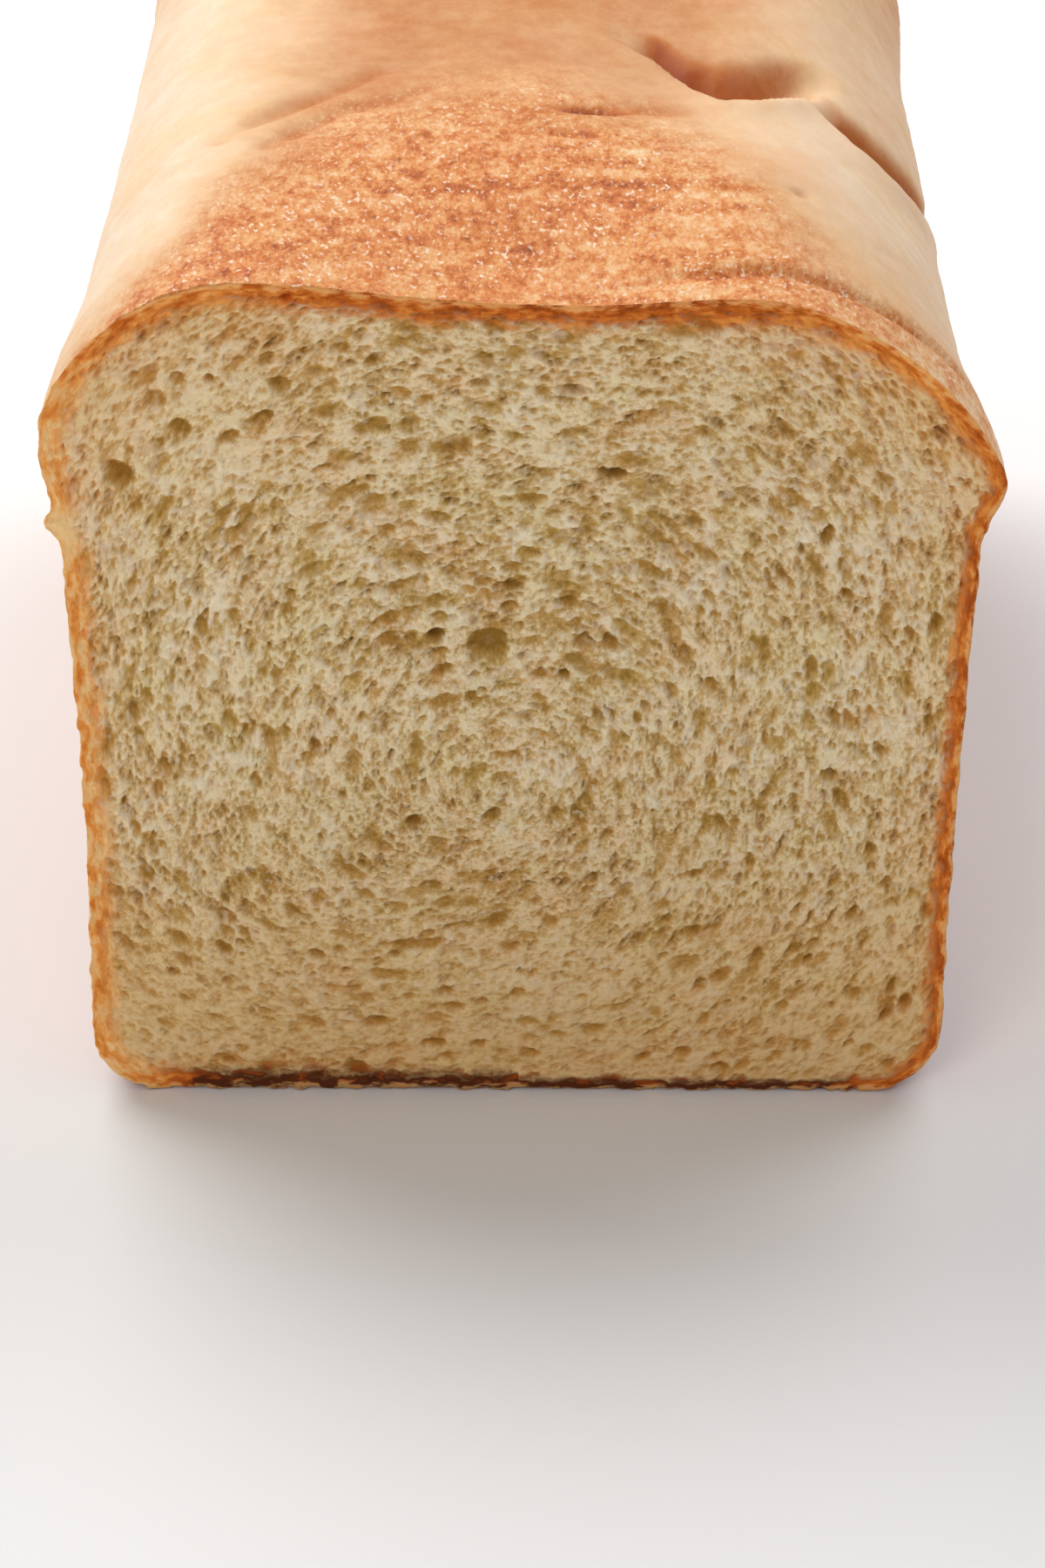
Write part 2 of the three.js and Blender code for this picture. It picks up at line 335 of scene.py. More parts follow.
heel_arc = HEEL_SHOULDER * (math.pi / 2 - heel_turn)
unrolled = [b for b, _ in stations[: -len(heel_turn)]]
unrolled += [LOAF_LENGTH - HEEL_SHOULDER + arc for arc in heel_arc]
faces, spots, finish_of = [], [], []
for i, (front, back) in enumerate(zip(rings, rings[1:])):
    for f, at in strip(front, back, unrolled[i] / unrolled[-1], unrolled[i + 1] / unrolled[-1]):
        faces.append(f)
        spots.append(SHEET_EDGE + at * (1 - 2 * SHEET_EDGE, SHEET_SKIN - 2 * SHEET_EDGE))
        finish_of.append(np.zeros(len(f), int))
cut_faces, heel_faces = net_faces(cut_net, 1), net_faces(heel_net, -1)
faces += [cut_faces, heel_faces]
spots += [on_sheet(cut_faces, 0.005, 1 - SHEET_CUT, SHEET_CUT - 0.01),
          on_sheet(heel_faces, SHEET_CUT + 0.02, 1 - SHEET_HEEL - 0.02, SHEET_HEEL)]
finish_of += [np.ones(len(cut_faces), int), np.zeros(len(heel_faces), int)]
print("faces:", sum(map(len, faces)))

# %% Make the mesh
mesh = bpy.data.meshes.new("loaf_baked")
face_corners = np.concatenate([f.ravel() for f in faces])
face_sizes = np.concatenate([np.full(len(f), f.shape[1]) for f in faces])
mesh.vertices.add(len(places))
mesh.vertices.foreach_set("co", np.asarray(places, np.float32).ravel())
mesh.loops.add(len(face_corners))
mesh.loops.foreach_set("vertex_index", face_corners.astype(np.int32))
mesh.polygons.add(len(face_sizes))
mesh.polygons.foreach_set("loop_start", (np.cumsum(face_sizes) - face_sizes).astype(np.int32))
mesh.polygons.foreach_set("material_index", np.concatenate(finish_of).astype(np.int32))
mesh.polygons.foreach_set("use_smooth", np.ones(len(face_sizes), bool))
sheet = mesh.uv_layers.new(name="OFBake")
on_map = np.concatenate([s.reshape(-1, 2) for s in spots])
sheet.uv.foreach_set("vector", on_map.astype(np.float32).ravel())
mesh.update(calc_edges=True)
normals = np.empty((len(places), 3), np.float32)
mesh.vertex_normals.foreach_get("vector", normals.ravel())
print("the mesh is closed:", len(mesh.vertices) - len(mesh.edges) + len(mesh.polygons) == 2)

# %% [markdown]
# ## Randomness that stays put
# Bread is full of chance, but a model has to come out the same on every run.
# Smooth random hills are read from a table of numbers made from a seed, and blended between its entries.
# A small size gives grain, a large one gives gentle lumps, and a few sizes added together look natural.


# %% Random hills
def hills(at, size, seed):
    """Smooth random values, about -1 to 1, that change over the given size in millimetres."""
    table = np.random.default_rng(seed).uniform(-1, 1, (32, 32, 32))
    at = at / size
    cell = np.floor(at).astype(int)
    part = ease(0, 1, at - cell)
    total = 0
    for corner in np.ndindex(2, 2, 2):
        weight = np.prod(np.where(corner, part, 1 - part), axis=1)
        total = total + weight * table[tuple(((cell + corner) % 32).T)]
    return total


def rough_hills(at, size, seed, octaves=3):
    return sum(hills(at, size / 2**k, seed + k) / 2**k for k in range(octaves)) / (2 - 2 ** (1 - octaves))


x, behind, height = places.T
crumb = np.zeros(len(places), bool)
crumb[np.unique(cut_net[1:-1, 1:-1])] = True
skin = ~crumb
print(int(crumb.sum()), "points of crumb,", int(skin.sum()), "of crust")

# %% [markdown]
# ## The folds in the top
# The dough was rolled up before it went into the tin, and its seam opened across the top in the oven.
# That left one deep crease on the right, a few stretch lines on the left, and a groove along the cut's rim.
# A sculptor would press these in with a brush. Here each crease is a line over the top whose depth
# comes and goes, steep on its front side, where one lobe ends, and easy behind, where the next one rises.


# %% Press in the creases
# `way` runs across the top to the right and then down the shoulder, so that one number follows a crease.
SHOULDER_TOP = 104
way = x + 0.6 * np.maximum(0, SHOULDER_TOP - height) * (x > 0)
on_top = ease(TIN_DEPTH + 1, TIN_DEPTH + 12, height)


def along(*pairs):
    """A value that changes along the way, through these (way, value) pairs."""
    return np.interp(way, *zip(*pairs))


def crease(at, depth, front_reach, back_reach):
    """One crease: how deep it presses in, and how far each point is up its far wall, which gets painted
    shade.
    """
    past = behind - at
    shape = np.where(past < 0, bell(past, front_reach), bell(past, back_reach)) * on_top
    lobe = bell(past + front_reach + 4, 4.5) * on_top
    back_wall = 1 - ease(1.1 * back_reach, 1.9 * back_reach, past)
    wall = np.where(past < -1.5, bell(past + 1.5, 1.5), back_wall) * on_top
    return depth * (shape - 0.12 * lobe), ease(0.8, 4.5, depth) * wall


top_press, top_crease_shade = crease(
    at=along((8, 97), (14, 94), (18, 90), (20.5, 84.5), (22.6, 79.5), (26.7, 75), (31, 77), (37, 86),
             (42, 94), (50, 98)),
    depth=along((11, 0), (15, 1), (17, 2.2), (20, 5.2), (24, 8), (31, 8), (36, 5.5), (40, 2.2), (44, 0)),
    front_reach=along((14, 2), (24, 2.6), (40, 3)),
    back_reach=along((14, 3), (20, 6), (25, 8.5), (31, 9), (37, 7.5), (44, 4)),
)
side_press, side_crease_shade = crease(
    at=along((38, 87), (41, 84), (45, 80), (52, 79), (59, 82), (65, 86), (73, 90)),
    depth=along((38, 0), (41, 1.2), (46, 4.8), (52, 7), (60, 6.4), (67, 4), (75, 0)),
    front_reach=along((40, 2.4), (60, 3.2)),
    back_reach=along((40, 4), (50, 6.5), (70, 5.5)),
)
press = top_press + side_press


def groove(start, end, width):
    """How near each point of the top is to a straight stroke, 1 in its middle and fading at its ends."""
    (x0, b0), (x1, b1) = start, end
    run = np.array([x1 - x0, b1 - b0])
    share = ((x - x0) * run[0] + (behind - b0) * run[1]) / (run @ run)
    off = np.hypot(x - x0 - np.clip(share, 0, 1) * run[0], behind - b0 - np.clip(share, 0, 1) * run[1])
    return bell(off, width) * (0.25 + 0.75 * bell(share - 0.5, 0.5)) * (height > TIN_DEPTH + 15)


stretch_lines = (1.2 * groove((-19, 77), (-39, 49), 1.9) + 0.8 * groove((-21, 62), (-33, 44), 1.6)
                 + 0.7 * groove((-13, 68), (-21, 59), 1.5) + 0.3 * groove((-44, 64), (-50, 46), 2))
dent = (1.3 * groove((5, 60.5), (12, 61), 1.7) + 0.6 * groove((12, 63), (21, 65), 2.8)
        + 0.6 * groove((3, 51), (9, 50), 1.6) + 0.6 * groove((34.5, 36.5), (36.5, 36.5), 1.3))
rim_groove_at = along((12, 5), (20, 8.3), (30, 10), (40, 10.6), (48, 12), (56, 13.5), (64, 14))
rim_groove_share = along((13, 0), (22, 0.7), (28, 1), (46, 0.9), (60, 0.6), (70, 0.2))
rim_groove = bell(behind - rim_groove_at, 1.5) * rim_groove_share * on_top
press += stretch_lines + dent + 1.3 * rim_groove
print("deepest crease:", round(float(press[skin].max()), 1), "mm")

# %% [markdown]
# ## The skin's own relief
# A baked skin is never smooth. It rises in slow lumps, it is stretched into fine lines on top,
# and where it touched the tin it is pitted by steam bubbles. The base has the most pits and stays flat.

# %% Add lumps, wrinkles and pits
wall = 1 - ease(TIN_DEPTH - 3, TIN_DEPTH + 5, height)
base = 1 - ease(0.5, 6, height)
lumps = 0.5 * hills(places, 34, 11) * (1 - 0.6 * wall)
lumps += 0.2 * hills(places, 13, 12) + 0.1 * rough_hills(places, 2.6, 14)
by_folds = bell(behind - 80, 26) * bell(x, 60)
wrinkles = rough_hills(places * (0.3, 1, 1), 3.2, 21) * (1 - wall) * (0.07 + 0.1 * by_folds)
wrinkles += 0.22 * rough_hills(places * (1, 0.25, 1), 6, 23) * (1 - wall) * ease(110, 150, behind)
grain = 0.05 * rough_hills(places, 1.6, 31)
pits = 0.3 * ease(0.25, 0.75, hills(places, 2.6, 41)) * wall
pits += 0.35 * ease(0.3, 0.7, hills(places, 1.5, 43)) * base
torn = 0.5 * rough_hills(places * (1, 0.35, 1), 3, 51) * bell(height - TIN_DEPTH - 1.5, 2.2)
relief = (lumps + wrinkles + grain + torn) * (1 - base) - pits * (0.4 + 0.6 * base)
outward = np.where(skin, relief - press, 0)
print("the skin moves out by", round(float(outward.max()), 1), "mm at most")

# %% Tear the edge of the cut and the flap at the tin's rim
FLAP_HEIGHT = 80.4  # where a flake of crust hangs off the left side of the cut
edge = bell(behind, 1.2) * skin
outward += edge * (0.28 + 0.2 * (x < 0)) * rough_hills(places, 2.2, 61)
moved = places + normals * outward[:, None]
moved[skin, 1] += (edge * 0.35 * rough_hills(places, 1.7, 71))[skin]
flap = bell(height - FLAP_HEIGHT, 1.9) * bell(behind, 2.0) * (x < -50) * skin
moved[:, 0] -= 1.9 * flap * (0.8 + 0.5 * rough_hills(places, 1.2, 75))
moved[:, 2] = np.maximum(moved[:, 2], 0)
print("the flap stands out by", round(float(1.9 * flap.max()), 1), "mm")

# %% [markdown]
# ## The crumb
# The knife opens a foam. Its cells are a fraction of a millimetre to a few millimetres wide, with pale walls.
# The dough was rolled, so the cells are drawn out along a spiral: upright near the walls, flat near the top.
# Cutting thousands of little balls out of a solid would be slow and would tear the mesh.
# Instead the even net over the cut is pressed in, point by point: first by a foam of fine cells,
# then by larger bowls, with a few flakes of torn crumb standing proud.

# %% Find the way the crumb was rolled
SWIRL_X, SWIRL_HEIGHT, SWIRL_SQUARENESS = -3, 43, 2.6
ASIDE, ABOVE, BELOW = 57, 68, 43  # how far it is from the swirl's middle to the skin
FAR_INSIDE = 14  # deeper in than this, the skin makes no difference
STEP_AROUND = 0.29  # between two points of the cut's edge
at = moved[crumb]
cx, cz = at[:, 0], at[:, 2]
across, up = cx - SWIRL_X, cz - SWIRL_HEIGHT
half_height = np.where(up > 0, ABOVE, BELOW)
pull = SWIRL_SQUARENESS - 1
slope_x = np.sign(across) * (np.abs(across) / ASIDE) ** pull / ASIDE
slope_z = np.sign(up) * (np.abs(up) / half_height) ** pull / half_height
turn = np.arctan2(slope_x, -slope_z) + 0.3 * hills(at, 13, 81) + 0.12
flow = np.stack([np.cos(turn), np.sin(turn)], 1)


def nearest_on(ring, spots, chunk=20000):
    """How far each spot is from the ring, and the number of the ring's point that is nearest to it."""
    away, which = [], []
    for start in range(0, len(spots), chunk):
        gaps = ((spots[start : start + chunk, None] - ring[None]) ** 2).sum(2)
        which.append(gaps.argmin(1))
        away.append(np.sqrt(gaps.min(1)))
    return np.concatenate(away), np.concatenate(which)


ring = moved[rings[0]][:, [0, 2]].astype(np.float32)
flat = at[:, [0, 2]].astype(np.float32)
from_skin, along_skin = np.full(len(at), FAR_INSIDE, np.float32), np.zeros(len(at), np.float32)
near = (np.abs(across) > ASIDE - 16) | (up > ABOVE - 24) | (up < 14 - BELOW)
away, nearest = nearest_on(ring, flat[near])
from_skin[near], along_skin[near] = np.minimum(away, FAR_INSIDE), nearest * STEP_AROUND
print("crumb points near the skin:", int(near.sum()))


# %% Cut a foam
def foam(spots, flow, spacing, stretch, seed):
    """For each spot: how far it is from its cell's wall, and its cell's own three random numbers."""
    rng = np.random.default_rng(seed)
    cell = np.floor(spots / spacing).astype(int)
    low = cell.min(0) - 3
    chance = rng.random((*(cell.max(0) - low + 4), 5))
    first, second = np.full(len(spots), 9.0), np.full(len(spots), 9.0)
    own = np.zeros((len(spots), 3))
    for step in np.ndindex(5, 5):
        there = cell + np.array(step) - 2
        lot = chance[tuple((there - low).T)]
        off = (there + 0.5 + 0.9 * (lot[:, :2] - 0.5)) * spacing - spots
        along_flow = (off * flow).sum(1) / math.sqrt(stretch)
        over_flow = (off[:, 0] * flow[:, 1] - off[:, 1] * flow[:, 0]) * math.sqrt(stretch)
        far = np.hypot(along_flow, over_flow) / spacing * (0.75 + 0.5 * lot[:, 4])
        closer = far < first
        second = np.where(closer, first, np.minimum(second, far))
        own = np.where(closer[:, None], lot[:, 2:], own)
        first = np.where(closer, far, first)
    return second - first, own


wobble = np.stack([rough_hills(at, 1.1, 91), rough_hills(at, 1.1, 95)], 1)
wobbled = flat + 0.22 * wobble
depth, crests = np.zeros(len(at)), np.zeros(len(at))
for spacing, stretch, least, most, rarity, seed in (
    (2.3, 2.3, 0.0, 0.75, 1.8, 100), (1.3, 2.3, 0.03, 0.7, 1.3, 101), (0.75, 1.9, 0.02, 0.4, 1.1, 102)
):
    gap, own = foam(wobbled, flow, spacing, stretch, seed)
    depth += (least + (most - least) * own[:, 0] ** rarity) * ease(0, 0.62, gap)
    crests = np.maximum(crests, (1 - ease(0.02, 0.26, gap)) * (spacing < 2) * own[:, 1])
print("fine foam, deepest cell:", round(float(depth.max()), 2), "mm")


# %% Open the larger cells
def bins_of(spots, size=4):
    low = spots.min(0) - size
    column = np.floor((spots - low) / size).astype(int)
    table = {}
    order = np.lexsort(column.T)
    keys, starts = np.unique(column[order], axis=0, return_index=True)
    for key, part in zip(map(tuple, keys), np.split(order, starts[1:])):
        table[key] = part
    return table, low, size


table, low, size = bins_of(flat)


def near_to(spot, reach):
    """The numbers of the crumb points that may lie within reach of a spot."""
    first = np.floor((spot - reach - low) / size).astype(int)
    last = np.floor((spot + reach - low) / size).astype(int)
    columns = [(i, j) for i in range(first[0], last[0] + 1) for j in range(first[1], last[1] + 1)]
    found = [table[column] for column in columns if column in table]
    return np.concatenate(found) if found else np.empty(0, int)


bowl, pore_shade_depth = np.zeros(len(at)), np.zeros(len(at))
ragged = flat + 0.3 * np.stack([rough_hills(at, 0.9, 111), rough_hills(at, 0.9, 115)], 1)


def open_cell(spot, length, width, tilt, deep, round_floor=0.75):
    """Presses in a tilted oval bowl: steep at its lip and flatter on its floor, and marks painted shade in
    it. Sizes are half sizes.
    """
    mine = near_to(np.array(spot), length + 0.6)
    if not len(mine):
        return
    off = ragged[mine] - spot
    c, s = math.cos(tilt), math.sin(tilt)
    rho = np.hypot((off[:, 0] * c + off[:, 1] * s) / length, (off[:, 1] * c - off[:, 0] * s) / width)
    inside = np.clip(1 - rho**2.4, 0, 1) ** round_floor
    bowl[mine] = np.maximum(bowl[mine], deep * inside)
    # Painted shade: each bowl is marked darker where it is deeper and towards its upper right side, where its
    # wall would hide the light.
    upper = 0.72 + 0.55 * (0.4 * off[:, 0] + 0.9 * off[:, 1]) / length
    pore_shade_depth[mine] = np.maximum(pore_shade_depth[mine], np.clip(deep * inside * upper, 0, 2))


rng = np.random.default_rng(7)
CELL_COUNT, SLIT_COUNT = 1700, 70
tries = rng.uniform((-56, 2), (57, 109), (CELL_COUNT * 4, 2))
opened = 0
for spot in tries:
    mine = near_to(spot, 0.3)
    if opened == CELL_COUNT or not len(mine):
        continue
    here = mine[np.argmin(((flat[mine] - spot) ** 2).sum(1))]
    open_crumb = bell(flat[here, 0], 34) * bell(flat[here, 1] - 66, 26)
    close_crumb = bell(flat[here, 0] + 40, 13) * bell(flat[here, 1] - 95, 9)
    if from_skin[here] < 2.5 or rng.random() > (0.4 + 0.6 * open_crumb) * (1 - close_crumb):
        continue
    half = 0.26 + 0.85 * rng.random() ** 3.2
    stretch = rng.uniform(1.2, 2.8)
    tilt = turn[here] + rng.normal(0, 0.18)
    open_cell(spot, half * stretch, half, tilt, min(half, 0.75) * rng.uniform(0.6, 1.5))
    opened += 1
for spot in rng.uniform((-50, 10), (50, 100), (SLIT_COUNT, 2)):
    here = near_to(spot, 1)[0]
    length, width = rng.uniform(1.2, 2.8), rng.uniform(0.18, 0.34)
    open_cell(spot, length, width, turn[here] + rng.normal(0, 0.1), rng.uniform(0.4, 0.9))
print("cells opened:", opened)

# %% Open the holes that stand out
# Each hole's place from the middle line and from the base, its length, width, tilt and depth.
HOLES = (
    (-44.8, 100, 4.4, 2.3, 40, 0.8), (-41, 99.5, 2.2, 2.2, 0, 1.1), (-43.7, 97, 2.9, 2.3, 10, 0.9),
    (-37.3, 99.7, 1.4, 1.2, 0, 1.2), (-30.2, 102.2, 2.4, 1.9, 20, 1.0), (-28.7, 98.8, 2.9, 2.7, 0, 1.2),
    (-31, 94.6, 3.5, 2.2, 35, 1.3), (-35.3, 92, 3.3, 1.6, 20, 1.1), (-41, 92.8, 2.6, 3.2, 0, 1.2),
    (-43.7, 91, 1.9, 1.9, 0, 0.9), (-33.3, 80.7, 3.7, 2.2, 55, 1.2), (-21.8, 89.3, 3.7, 3, 0, 0.6),
    (-21.5, 103.7, 2.9, 1.5, 5, 0.9), (-11.5, 97, 3, 1.5, 25, 0.7), (-48.7, 87, 4, 3.8, -20, 1.5),
    (-3.9, 64, 5.8, 5, 10, 1.8), (-10.3, 65.4, 2.7, 2, 20, 1.9), (8.2, 64.7, 2.4, 2.3, 0, 1.4),
    (11.3, 64.7, 2.5, 2.6, 30, 1.4), (6, 69.8, 3.2, 2.1, 0, 1.2), (5.6, 60, 1.9, 1.3, 0, 1.6),
    (-1.2, 72.2, 4.3, 1.3, 0, 1.3), (11.2, 87.2, 4.2, 1.6, -5, 1.9), (18, 77.5, 1.8, 1.5, 0, 1.0),
    (37.8, 79, 3.7, 1.5, 80, 1.2), (41.8, 90.2, 4, 3.4, -40, 0.7), (22.4, 92.8, 3.7, 1.6, -20, 0.8),
    (39, 46, 2.4, 2, 0, 1.4), (21.3, 18.8, 5.4, 2.5, 10, 0.7), (37, 19.4, 1.8, 1.1, 60, 1.4),
    (22, 31.8, 3.9, 1, 15, 1.0), (32.2, 50.4, 3.2, 2.7, 90, 0.6), (-13.3, 39, 2.2, 2, 90, 1.7),
    (-3.7, 40, 2.8, 2.2, 50, 1.3), (9.4, 59, 2.4, 2.2, 90, 1.0), (13.5, 59.6, 2.7, 2.6, 60, 0.9),
    (-6, 57, 2.2, 1.5, 0, 1.3), (-44.6, 47, 2.7, 2, 90, 1.0), (36.6, 57.5, 3.8, 2.7, 70, 0.8),
)
ragged = ragged + 0.4 * np.stack([rough_hills(at, 2.4, 117), rough_hills(at, 2.4, 119)], 1)
for hx, hz, length, width, tilt, deep in HOLES:
    open_cell((hx, hz), length / 2, width / 2, math.radians(tilt), deep, 0.6)
print("holes:", len(HOLES))

# %% Roll a sheet of grain up like the dough
# Grain read from these places is round in the middle of the cut and drawn out along the spiral near its rim.
ROUND_TO, DRAWN = 20, 0.3


def roll_up(spots):
    across, up = spots[:, 0] - SWIRL_X, spots[:, 1] - SWIRL_HEIGHT
    spread_x, spread_z = across * 56 / ASIDE, up * 56 / np.where(up > 0, ABOVE, BELOW)
    powers = np.abs(spread_x) ** SWIRL_SQUARENESS + np.abs(spread_z) ** SWIRL_SQUARENESS
    size = powers ** (1 / SWIRL_SQUARENESS)
    around = np.arctan2(spread_z, spread_x)
    out = np.where(size < ROUND_TO, size, ROUND_TO + (size - ROUND_TO) * DRAWN)
    aside = np.maximum(size - ROUND_TO, 0) * math.sqrt(1 - DRAWN**2)
    return np.stack([out * np.cos(around), out * np.sin(around), aside], 1)


# %% Put the crumb together
calm = ease(0.2, 1.8, from_skin)
in_bowl = ease(0.05, 0.5, bowl)
slow = 0.22 * rough_hills(at, 9, 121)
depth = depth * (1 - 0.6 * in_bowl)
patches = ease(-0.15, 0.5, rough_hills(at, 6, 135))
lace = ease(0.78, 0.97, 1 - np.abs(rough_hills(at, 2.2, 133, 2)))
flakes = np.maximum(ease(0.45, 0.75, hills(at, 0.7, 131)), 0.8 * lace) * patches * (1 - in_bowl)
rough = 0.12 * rough_hills(at, 0.7, 141) + 0.16 * rough_hills(at, 1.9, 145)
streaks = rough_hills(np.stack([along_skin / 3.2, from_skin, 0 * from_skin], 1), 1.3, 151)
close_corner = bell(flat[:, 0] + 40, 13) * bell(flat[:, 1] - 95, 9)
dense = 1 - 0.35 * (1 - ease(12, 34, flat[:, 1])) - 0.45 * close_corner
carved = (depth * dense + bowl + slow + rough - 0.25 * flakes) * calm
carved += 0.3 * streaks * (1 - calm) * ease(0, 0.6, from_skin)
moved[crumb, 1] += carved
print("deepest hole:", round(float(carved.max()), 1), "mm")

# %% [markdown]
# ## How well each place is baked
# Colour on bread follows heat. The middle of the top is sandy red-brown, the shoulders stay creamy,
# the sides are golden from the tin and the base is the darkest. A painter would brush these on.
# Here every point of the mesh carries a few plain numbers that say where it is and how baked it is,
# and the two finishes turn those numbers into colour. The same numbers also carry painted light and shade:
# the shoulders are painted paler where the window light falls, and the creases browner where shade falls.

# %% Find where the skin is sandy
x, behind, height = places.T
patch, mottle, blotch = (rough_hills(places, size, seed) for size, seed in ((3.5, 207), (7, 201), (24, 205)))
# how far back the sandy skin reaches at each distance from the middle line
SANDY_REACH = ((-52, 0), (-46, 8), (-38, 30), (-30, 46), (-20, 60), (-10, 70), (4, 70), (16, 64),
               (24, 50), (32, 30), (38, 16), (44, 11), (50, 11), (57, 13))
border = np.interp(x, *zip(*SANDY_REACH))
sand = 1 - ease(-26, 20, behind - border + 9 * mottle + 7 * blotch)
sand *= ease(TIN_DEPTH + 2, TIN_DEPTH + 18, height)
at_rim = 1 - ease(0, 5, behind - rim_groove_at + 1.5 * mottle)
at_rim *= ease(20, 32, x) * ease(TIN_DEPTH - 2, TIN_DEPTH + 8, height)
sand = np.maximum(sand, 0.9 * at_rim)
print("sandy part of the skin:", round(float(sand[skin].mean()), 2))

# %% Measure the bake of the top, with painted light on its shoulders
SMOOTH_TOP, SANDY_TOP, WALL, BASE = 0.545, 0.465, 0.55, 0.80  # 0 is raw dough, 1 is nearly burnt
to_heel = ease(120, 200, behind)
# The shoulders are painted paler: partly their own pale bake, partly painted light where the window falls on
# them, most on the left.
left_shoulder_pale_and_lit = ease(17, 48, -x + 5 * mottle + 7 * blotch) * (1 - 0.3 * wall) * (1 - 0.65 * to_heel)
right_shoulder_pale_and_lit = ease(18, 44, x + 5 * mottle + 6 * blotch) * (1 - 0.65 * to_heel)
top_bake_and_painted_light = SMOOTH_TOP + 0.05 * blotch - 0.16 * bell(behind - 62, 26) * bell(x - 22, 30)
top_bake_and_painted_light -= (0.43 * left_shoulder_pale_and_lit + 0.28 * right_shoulder_pale_and_lit) * (1 - sand)
red = bell(x + 6, 26) * bell(behind - 22, 26)
streaky = rough_hills(places * (0.3, 1, 1), 3.4, 209)
sandy_bake = SANDY_TOP + 0.05 * mottle + 0.07 * patch + 0.17 * streaky + 0.10 * red
top_bake_and_painted_light = mix(top_bake_and_painted_light, sandy_bake, sand) + 0.04 * mottle * (1 - sand) + 0.05 * to_heel
print("the top's bake:", round(float(top_bake_and_painted_light[skin].mean()), 2))

# %% Measure the bake of the walls, the base and the edge, and paint shade into the creases
wall_bake = WALL + 0.10 * blotch + 0.08 * mottle + 0.05 * patch + 0.14 * bell(height - 4, 9)
bake_and_painted_light = mix(top_bake_and_painted_light, wall_bake, 1 - ease(TIN_DEPTH - 8, TIN_DEPTH + 7, height + 3 * mottle))
bake_and_painted_light -= 0.09 * bell(height - TIN_DEPTH + 1, 4) * (1 - to_heel)
bake_and_painted_light = mix(bake_and_painted_light, BASE + 0.08 * mottle, base)
edge_bake = 0.22 + 0.3 * ease(98, 108, height) + 0.5 * (1 - ease(2, 6, height))
bake_and_painted_light = mix(bake_and_painted_light, edge_bake, 0.85 * bell(behind, 1.6))
bake_and_painted_light = mix(bake_and_painted_light, 0.1, bell(height - FLAP_HEIGHT, 2.6) * bell(behind, 4) * (x < -50))
bake_and_painted_light -= 0.08 * at_rim * ease(28, 50, x)
# Painted shade: the far walls of both creases, the stretch lines, the dent and the groove by the rim are
# browned where shade falls in them.
bake_and_painted_light += 0.31 * top_crease_shade + 0.42 * side_crease_shade + 0.10 * stretch_lines + 0.27 * dent
bake_and_painted_light += 0.17 * rim_groove * on_top * (1 - 0.4 * ease(36, 50, x))
print("bake runs from", round(float(bake_and_painted_light[skin].min()), 2), "to", round(float(bake_and_painted_light[skin].max()), 2))


# %% Write the numbers on the points
def write(name, numbers, places_on=None):
    """Gives every point its number, or only some of them. The others get 0."""
    full = np.zeros((len(places), *numbers.shape[1:]), np.float32)
    full[slice(None) if places_on is None else places_on] = numbers
    kind, field = ("FLOAT_VECTOR", "vector") if numbers.ndim == 2 else ("FLOAT", "value")
    mesh.attributes.new(name, kind, "POINT").data.foreach_set(field, full.ravel())


for name, numbers in (("bake_and_painted_light", bake_and_painted_light), ("sand", sand)):
    write(name, numbers)

# %% Measure the rim, and the warmth and painted glow of the crumb
crumb_at = np.flatnonzero(crumb)
cut_at = np.concatenate([rings[0], crumb_at])  # the crumb with the edge around it
spots_on_cut = np.concatenate([ring, flat])
skin_gap = np.concatenate([np.zeros(len(ring)), from_skin])
skin_run = np.concatenate([np.arange(len(ring)) * STEP_AROUND, along_skin])
spot_x, spot_z = spots_on_cut.T
at_cut = moved[cut_at]

# 1 at the foot of the cut, gone by halfway up. The crumb's finish uses it for painted shade, darker towards
# the bottom, and for a fainter grain there.
low = 1 - ease(6, 50, spot_z)
# The foot of the rind is dark: partly the base's own dark crust, partly a painted contact shadow where the
# loaf meets the table.
foot_line_and_contact_shadow = (1 - ease(2.5, 6, spot_z)) * (1 - ease(38, 50, np.abs(spot_x)))
rim_bake_and_painted_light = 0.33 + 0.30 * ease(99, 107, spot_z) * bell(spot_x - 4, 42) + 0.08 * rough_hills(at_cut, 9, 211)
# Painted light: the rind is paler on the left, where light through the crust is painted, and darker on the
# right.
rim_bake_and_painted_light += (0.22 * ease(20, 50, spot_x) - 0.10 * ease(20, 50, -spot_x)) * (1 - ease(92, 104, spot_z))
rim_bake_and_painted_light = mix(rim_bake_and_painted_light, 1.05, foot_line_and_contact_shadow)
rim_bake_and_painted_light = mix(rim_bake_and_painted_light, -0.1, bell(spot_z - FLAP_HEIGHT, 2.4) * (spot_x < -50))
rim_width = 1.15 + 0.5 * (spot_x < 0) * (1 - ease(96, 106, spot_z)) + 0.45 * ease(99, 106, spot_z)
rim_width += 0.3 * rough_hills(at_cut, 12, 213) - 0.35 * foot_line_and_contact_shadow
# Partly the crumb's own warmth near the crust, partly painted light: a glow through the crust at the upper
# corners, and warm bounced light at the foot.
warmth_and_painted_glow = 0.35 + 0.65 * ease(10, 40, np.abs(spot_x)) * ease(70, 90, spot_z)
warmth_and_painted_glow = 0.1 * low + 0.8 * np.exp(-skin_gap / 9) * warmth_and_painted_glow
print("the rim is", round(float(rim_width.min()), 1), "to", round(float(rim_width.max()), 1), "mm wide")

